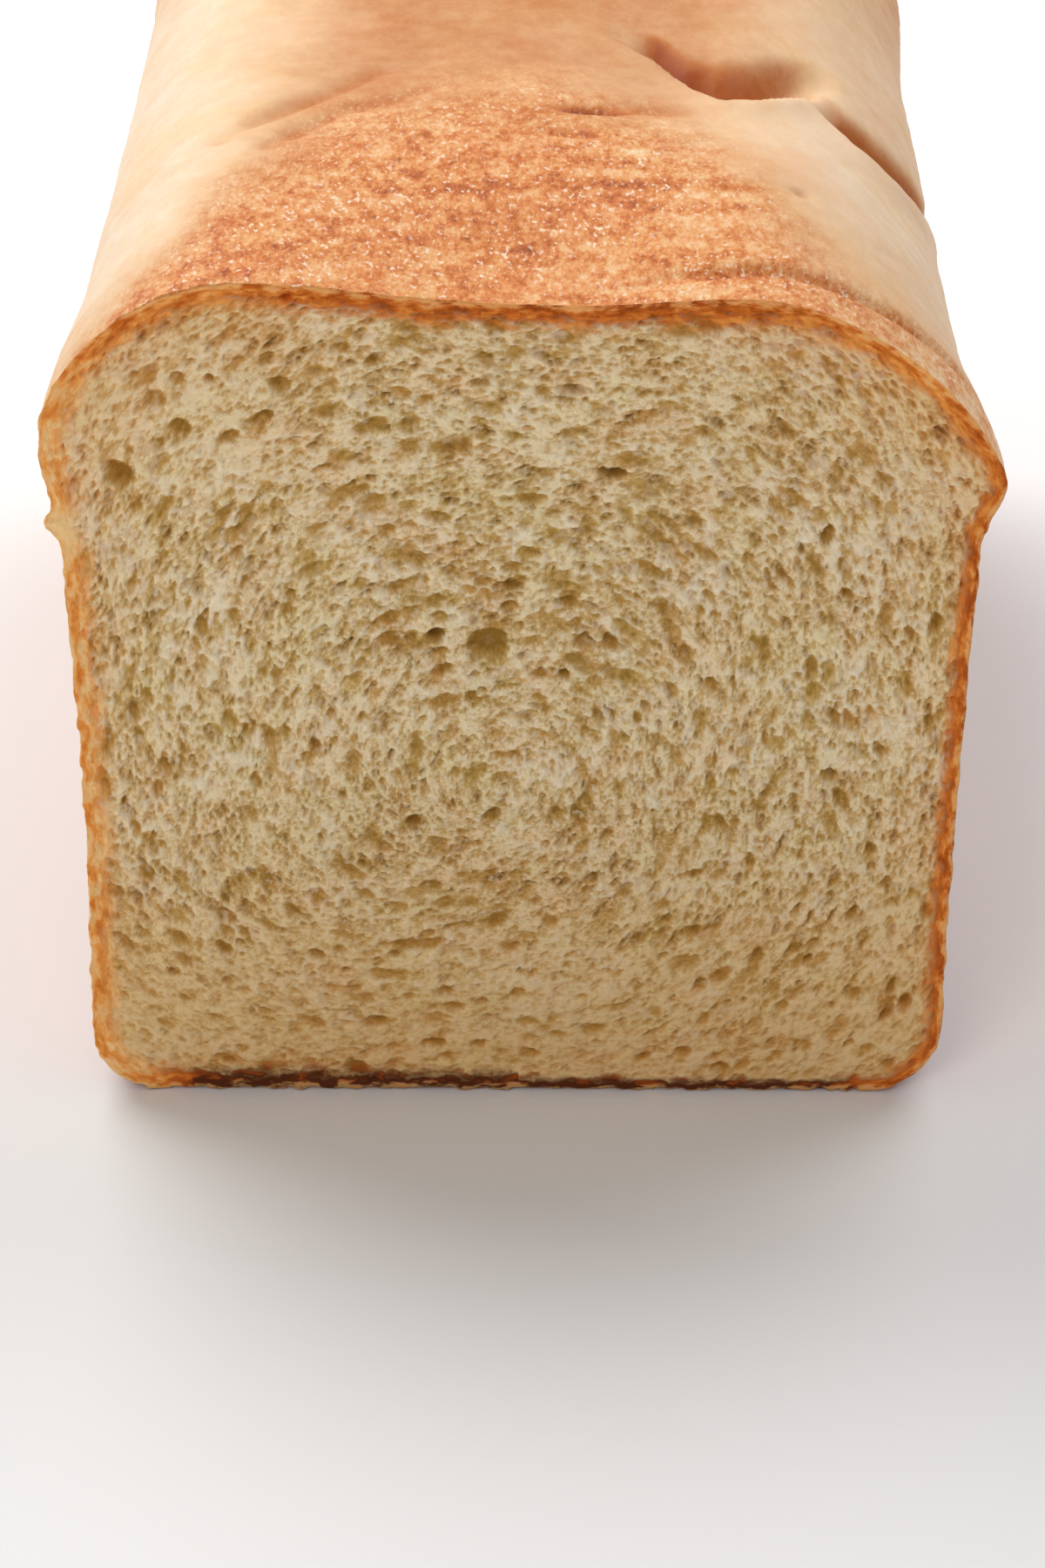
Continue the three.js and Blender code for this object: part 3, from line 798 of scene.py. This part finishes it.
# %% Write the crumb's numbers
on_cut = {
    "rolled": roll_up(spots_on_cut) * MM,
    "skinwards": np.stack([skin_run / 3.2, skin_gap, spot_z / 6], 1) * MM,
    "from_skin": skin_gap, "rim_bake_and_painted_light": rim_bake_and_painted_light, "rim_width": rim_width, "low": low, "warmth_and_painted_glow": warmth_and_painted_glow,
}
in_crumb = {
    "pore_shade": np.clip(pore_shade_depth / 1.15, 0, 1) * calm, "crest": crests * (1 - in_bowl) * calm,
    "cell": depth * dense * calm, "flake": flakes * calm,
}
for name, numbers in on_cut.items():
    write(name, numbers, cut_at)
for name, numbers in in_crumb.items():
    write(name, numbers, crumb_at)
print("written:", ", ".join([*on_cut, *in_crumb]))

# %% [markdown]
# ## In its place
# So far the loaf was built in millimetres from its cut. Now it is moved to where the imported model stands:
# its box is centred from side to side, and its cut comes to the front of the frame.
# It could stay where it is and have its object moved, but other tools read a piece's place from its mesh.

# %% Put the loaf in its place
loaf = bpy.data.objects.new("loaf_baked", mesh)
bpy.context.scene.collection.objects.link(loaf)
middle_x = (moved[:, 0].min() + moved[:, 0].max()) / 2
placed = (moved - (middle_x, 0, 0)) * MM + (0, cad_low.y, 0)
mesh.vertices.foreach_set("co", placed.astype(np.float32).ravel())
mesh.update()
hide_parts("loaf")
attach(loaf, "root")
print("the loaf's middle was", round(float(middle_x), 2), "mm right of the middle of its base")

# %% [markdown]
# ## Words for wiring a finish
# A finish is a net of nodes. It turns the numbers on the points, and noise, into colour and into bumps that
# are too fine for the mesh. The skin could also be painted by hand and wrapped around the loaf.
# Nodes are better here: the grain stays sharp from close by, and one number shifts a whole tone.

# %% Helpers for finishes
def colour(r, g, b):
    """A colour as it looks on a screen, 0 to 255, turned into the light it stands for."""
    light = lambda c: c / 255 / 12.92 if c <= 10 else ((c / 255 + 0.055) / 1.055) ** 2.4
    return (light(r), light(g), light(b), 1)


class Wiring:
    """A node tree with short words for the nodes that the finishes need."""

    def __init__(self, tree):
        self.tree = tree

    def add(self, kind, **settings):
        node = self.tree.nodes.new(kind)
        for name, value in settings.items():
            setattr(node, name, value)
        return node

    def feed(self, node, **inputs):
        for name, value in inputs.items():
            by_number = name[0] == "_" and name[1:].isdigit()
            socket = node.inputs[int(name[1:]) if by_number else name.replace("_", " ")]
            if isinstance(value, bpy.types.NodeSocket):
                self.tree.links.new(value, socket)
            else:
                socket.default_value = value
        return node

    def spots(self, name):
        return self.add("ShaderNodeAttribute", attribute_name=name).outputs["Vector"]

    def number(self, name):
        return self.add("ShaderNodeAttribute", attribute_name=name).outputs["Fac"]

    def sum(self, operation, a, b):
        return self.feed(self.add("ShaderNodeMath", operation=operation), _0=a, _1=b).outputs[0]

    def swing(self, value, reach):
        """A value of 0 to 1 turned into one that swings about 0, as far as the reach says."""
        return self.sum("MULTIPLY", self.sum("SUBTRACT", value, 0.5), reach)

    def spread(self, value, low, high, to_low=0.0, to_high=1.0):
        node = self.add("ShaderNodeMapRange", interpolation_type="SMOOTHSTEP")
        return self.feed(node, _0=value, _1=low, _2=high, _3=to_low, _4=to_high).outputs[0]

    def blend(self, share, a, b, kind="MIX"):
        node = self.add("ShaderNodeMix", data_type="RGBA", blend_type=kind)
        return self.feed(node, _0=share, _6=a, _7=b).outputs[2]

    def noise(self, at, size, detail=2.0, rough=0.5, seed=0.0):
        node = self.add("ShaderNodeTexNoise", noise_dimensions="4D", normalize=True)
        self.feed(node, Vector=at, W=seed, Scale=1 / (size * MM), Detail=detail, Roughness=rough)
        return node.outputs["Fac"]

    def ramp(self, value, *stops):
        node = self.add("ShaderNodeValToRGB")
        ends = node.color_ramp.elements
        while len(ends) < len(stops):
            ends.new(0.5)
        for end, (at, *tone) in zip(ends, stops):
            end.position, end.color = at, colour(*tone)
        return self.feed(node, Fac=value).outputs["Color"]


# %% [markdown]
# ## A grain that crust and crumb share
# Both have a fine grain: dried blisters outside, torn dough inside. It is built once as a node
# group that is told a size, a depth and a seed, and that gives back a mask for colour and a bumped normal.
# Two copies of the same nodes would drift apart when one of them is changed.

# %% A shared grain
grain_group = bpy.data.node_groups.new("baked grain", "ShaderNodeTree")
for name, kind, side in (
    ("place", "Vector", "INPUT"), ("size in mm", "Float", "INPUT"), ("depth in mm", "Float", "INPUT"),
    ("seed", "Float", "INPUT"), ("normal", "Vector", "INPUT"),
    ("grain", "Float", "OUTPUT"), ("normal", "Vector", "OUTPUT"),
):
    grain_group.interface.new_socket(name, in_out=side, socket_type=f"NodeSocket{kind}")
w = Wiring(grain_group)
given, result = w.add("NodeGroupInput").outputs, w.add("NodeGroupOutput")
blisters = w.noise(given["place"], 1, 3, 0.6, given["seed"])
w.feed(blisters.node, Scale=w.sum("DIVIDE", 1 / MM, given["size in mm"]))
depth_in_metres = w.sum("MULTIPLY", given["depth in mm"], MM)
bumps = w.feed(w.add("ShaderNodeBump"), Distance=depth_in_metres, Height=blisters, Normal=given["normal"])
w.feed(result, grain=w.spread(blisters, 0.3, 0.7), normal=bumps.outputs[0])
print("nodes in the grain:", len(grain_group.nodes))


# %% Helpers to use it
def grain_in(w, size, depth, seed, normal=None, place=None):
    """The shared grain in a finish: its mask, and the normal with its bumps added."""
    place = place or w.add("ShaderNodeTexCoord").outputs["Object"]
    normal = normal or w.add("ShaderNodeNewGeometry").outputs["Normal"]
    node = w.add("ShaderNodeGroup", node_tree=grain_group)
    w.feed(node, place=place, size_in_mm=size, depth_in_mm=depth, seed=seed, normal=normal)
    return node.outputs["grain"], node.outputs["normal"]


def new_finish(name):
    material = bpy.data.materials.new(name)
    material.use_nodes = True
    material.node_tree.nodes.clear()
    w = Wiring(material.node_tree)
    shader, out = w.add("ShaderNodeBsdfPrincipled"), w.add("ShaderNodeOutputMaterial")
    material.node_tree.links.new(shader.outputs[0], out.inputs["Surface"])
    return material, w, shader


# %% [markdown]
# ## The finish of the crust
# The skin is dough that dried and browned. By the cut it is sandy: dull gold, with pale specks painted on as
# glints of light on its grains.
# Farther back, and on the shoulders, it is smooth and paler; on the shoulders that is partly painted light.
# One brown with a noise over it would look like paint. Two rows of tones that the bake picks from
# give what an oven gives: cream, gold, orange and brown, in that order, wherever the bake changes.

# %% Choose the tones of the crust
# Each tone is a bake from 0 to 1 and the colour that it gives.
SANDY_TONES = (
    (0.00, 250, 238, 218), (0.15, 245, 217, 182), (0.32, 238, 190, 138), (0.48, 228, 156, 92),
    (0.62, 208, 118, 50), (0.78, 162, 76, 20), (1.00, 84, 40, 12),
)
SMOOTH_TONES = (
    (0.00, 250, 238, 220), (0.15, 244, 215, 181), (0.32, 232, 190, 146), (0.48, 212, 156, 108),
    (0.62, 192, 114, 50), (0.78, 168, 76, 6), (1.00, 110, 50, 4),
)
PINKISH, YELLOWISH, GLINT = colour(255, 236, 226), colour(255, 246, 220), colour(254, 232, 206)
print(len(SANDY_TONES), "sandy tones and", len(SMOOTH_TONES), "smooth ones")

# %% The crust's grain
crust, w, shader = new_finish("baked crust")
sandy = w.number("sand")
everywhere = w.add("ShaderNodeTexCoord").outputs["Object"]
lengthwise = w.add("ShaderNodeVectorMath", operation="MULTIPLY")
place = w.feed(lengthwise, _0=everywhere, _1=(1, 0.55, 1)).outputs[0]
patches, lumpy = grain_in(w, 4.0, 0.15, 1.0)
specks, normal = grain_in(w, 1.2, w.spread(sandy, 0, 1, 0.03, 0.34), 2.0, lumpy, place)
fine_specks, normal = grain_in(w, 0.5, w.spread(sandy, 0, 1, 0.01, 0.16), 3.0, normal, place)
tone = w.sum("ADD", w.number("bake_and_painted_light"), w.swing(patches, w.spread(sandy, 0, 1, 0.06, 0.13)))
tone = w.sum("ADD", tone, w.swing(specks, w.spread(sandy, 0, 1, 0.03, 0.24)))
tone = w.sum("ADD", tone, w.swing(fine_specks, w.spread(sandy, 0, 1, 0.02, 0.16)))
print("nodes in the crust so far:", len(crust.node_tree.nodes))

# %% The crust's colour
skin_colour = w.blend(sandy, w.ramp(tone, *SMOOTH_TONES), w.ramp(tone, *SANDY_TONES))
blush = w.noise(everywhere, 14, 2, 0.5, 5.0)
skin_colour = w.blend(w.spread(blush, 0.5, 0.72, 0, 0.5), skin_colour, PINKISH, "MULTIPLY")
skin_colour = w.blend(w.spread(blush, 0.5, 0.28, 0, 0.5), skin_colour, YELLOWISH, "MULTIPLY")
# Painted highlight: pale specks over the sandy crust, in patches, stand for glints of light on its grains.
glints = w.spread(w.noise(place, 0.6, 1, 0.5, 6.0), 0.56, 0.72)
glint_patches = w.spread(w.noise(place, 6, 2, 0.5, 7.0), 0.35, 0.6, 0.3, 0.9)
skin_colour = w.blend(w.sum("MULTIPLY", glints, w.sum("MULTIPLY", glint_patches, sandy)), skin_colour, GLINT)
w.feed(shader, Base_Color=skin_colour, Normal=normal, Roughness=0.55, Specular_IOR_Level=0.22)
w.feed(shader, Subsurface_Weight=0.12, Subsurface_Radius=(1.0, 0.45, 0.2), Subsurface_Scale=0.0018)
print("nodes in the crust:", len(crust.node_tree.nodes))

# %% [markdown]
# ## The finish of the crumb
# Crumb is pale where a cell's wall was cut, and darker and yellower down in a cell, because light that goes
# in comes out coloured by the dough. The relief alone gives only shadows, which look grey and hard. So the
# depth of the cells also picks a darker tone, as painted shade. Along the skin the crumb runs over into a
# thin orange rind.

# %% Choose the tones of the crumb
CRUMB_TONES = ((0.0, 248, 230, 192), (0.28, 217, 184, 122), (0.6, 187, 149, 78), (1.0, 154, 117, 46))
WARM_TONES = ((0.0, 244, 196, 130), (0.4, 226, 150, 74), (1.0, 170, 92, 26))
RIND_TONES = (
    (0.0, 254, 212, 150), (0.25, 248, 168, 80), (0.55, 216, 116, 36), (0.75, 180, 86, 18), (1.0, 92, 42, 12),
)
GREENISH, ROSY, LOW_SHADE = colour(240, 247, 212), colour(255, 236, 222), colour(246, 234, 212)
CREST, FLAKE, TORN = colour(246, 228, 192), colour(252, 240, 212), colour(250, 238, 212)
RIND_EDGE = colour(246, 196, 130)
print("crumb tones:", len(CRUMB_TONES), "rind tones:", len(RIND_TONES))

# %% The crumb's grain
crumb_finish, w, shader = new_finish("soft crumb")
rolled_at = w.spots("rolled")
coarse, rough_normal = grain_in(w, 1.3, 0.30, 11.0, place=rolled_at)
fine, normal = grain_in(w, 0.5, 0.28, 12.0, rough_normal, place=rolled_at)
low = w.number("low")
# Painted shade: the deeper a cell or hole, the darker the tone the crumb picks.
shade = w.sum("ADD", w.sum("MULTIPLY", w.number("cell"), 0.76), w.number("pore_shade"))
shade = w.sum("ADD", shade, w.swing(coarse, w.spread(low, 0, 1, 0.32, 0.2)))
shade = w.sum("ADD", shade, w.swing(fine, w.spread(low, 0, 1, 0.36, 0.22)))
print("nodes in the crumb so far:", len(crumb_finish.node_tree.nodes))

# %% The crumb's colour
crumb_colour = w.ramp(shade, *CRUMB_TONES)
hue = w.noise(rolled_at, 5.5, 2, 0.6, 15.0)
crumb_colour = w.blend(w.spread(hue, 0.42, 0.7, 0, 0.4), crumb_colour, GREENISH, "MULTIPLY")
crumb_colour = w.blend(w.spread(hue, 0.5, 0.28, 0, 0.6), crumb_colour, ROSY, "MULTIPLY")
crumb_colour = w.blend(w.sum("MULTIPLY", w.number("crest"), 0.7), crumb_colour, CREST)
crumb_colour = w.blend(w.number("flake"), crumb_colour, FLAKE)
drawn_out = w.spread(w.noise(rolled_at, 1.4, 2, 0.5, 21.0), 0.54, 0.68)
torn_here = w.spread(w.noise(rolled_at, 7, 2, 0.5, 22.0), 0.40, 0.60, 0.1, 0.62)
crumb_colour = w.blend(w.sum("MULTIPLY", drawn_out, torn_here), crumb_colour, TORN)
crumb_colour = w.blend(w.number("warmth_and_painted_glow"), crumb_colour, w.ramp(shade, *WARM_TONES))
# Painted shade: the crumb is darker towards the bottom of the cut.
crumb_colour = w.blend(low, crumb_colour, LOW_SHADE, "MULTIPLY")

# %% The rind around the crumb
streak, _ = grain_in(w, 1.0, 0.0, 13.0, place=w.spots("skinwards"))
rim_share = w.sum("DIVIDE", w.number("from_skin"), w.number("rim_width"))
rim_share = w.sum("ADD", rim_share, w.swing(streak, 1.0))
rind = w.ramp(w.sum("ADD", w.number("rim_bake_and_painted_light"), w.swing(streak, 0.5)), *RIND_TONES)
rind = w.blend(w.spread(rim_share, 0.5, 0.0, 0, 0.5), rind, RIND_EDGE)
crumb_colour = w.blend(w.spread(rim_share, 1.0, 2.6), rind, crumb_colour)
w.feed(shader, Base_Color=crumb_colour, Normal=normal, Roughness=0.8, Specular_IOR_Level=0.2)
w.feed(shader, Subsurface_Weight=0.2, Subsurface_Radius=(1.0, 0.6, 0.3), Subsurface_Scale=0.0010)
print("nodes in the crumb:", len(crumb_finish.node_tree.nodes))

# %% Dress the loaf
mesh.materials.append(crust)
mesh.materials.append(crumb_finish)

# %% [markdown]
# ## The table and the light
# Bread looks best in daylight from behind and above, which skims the top and lets the pale shoulders glow,
# with only a weak light from the room on the cut. Large soft lamps stand in for the windows:
# small ones would draw hard shadows in every cell. A pale plain table keeps the loaf's own colours clean.

# %% Lay the table
scene = bpy.context.scene
scene.view_settings.view_transform = "Standard"
FLOOR = 30  # half its side, in metres, so that no edge is ever seen
floor_mesh = bpy.data.meshes.new("table_top")
floor_corners = [(-FLOOR, -FLOOR, 0), (FLOOR, -FLOOR, 0), (FLOOR, FLOOR, 0), (-FLOOR, FLOOR, 0)]
floor_mesh.from_pydata(floor_corners, [], [(0, 1, 2, 3)])
floor = bpy.data.objects.new("table_top", floor_mesh)
floor.location.z = -0.0002
scene.collection.objects.link(floor)
table, w, shader = new_finish("pale table")
w.feed(shader, Base_Color=colour(242, 244, 248), Roughness=0.7)
floor_mesh.materials.append(table)

# %% Light the room
world = bpy.data.worlds.new("pale room")
scene.world = world
world.use_nodes = True
air = world.node_tree.nodes["Background"].inputs
air["Color"].default_value = colour(240, 244, 255)
air["Strength"].default_value = 0.30
LIGHT_AIM = Vector((0, 0, 0.05))


def soft_light(name, at, size, power, tint):
    lamp = bpy.data.lights.new(name, "AREA")
    lamp.shape, lamp.size, lamp.energy, lamp.color = "DISK", size, power, tint[:3]
    lit = bpy.data.objects.new(name, lamp)
    lit.location = at
    lit.rotation_euler = (LIGHT_AIM - Vector(at)).to_track_quat("-Z", "Y").to_euler()
    scene.collection.objects.link(lit)


soft_light("window", (-0.6, 0.7, 1.0), 1.1, 14.5, colour(255, 250, 242))
soft_light("far window", (0.55, 0.6, 0.95), 1.0, 7, colour(255, 250, 244))
soft_light("room", (-0.35, -0.95, 0.62), 0.5, 2.8, colour(255, 242, 222))
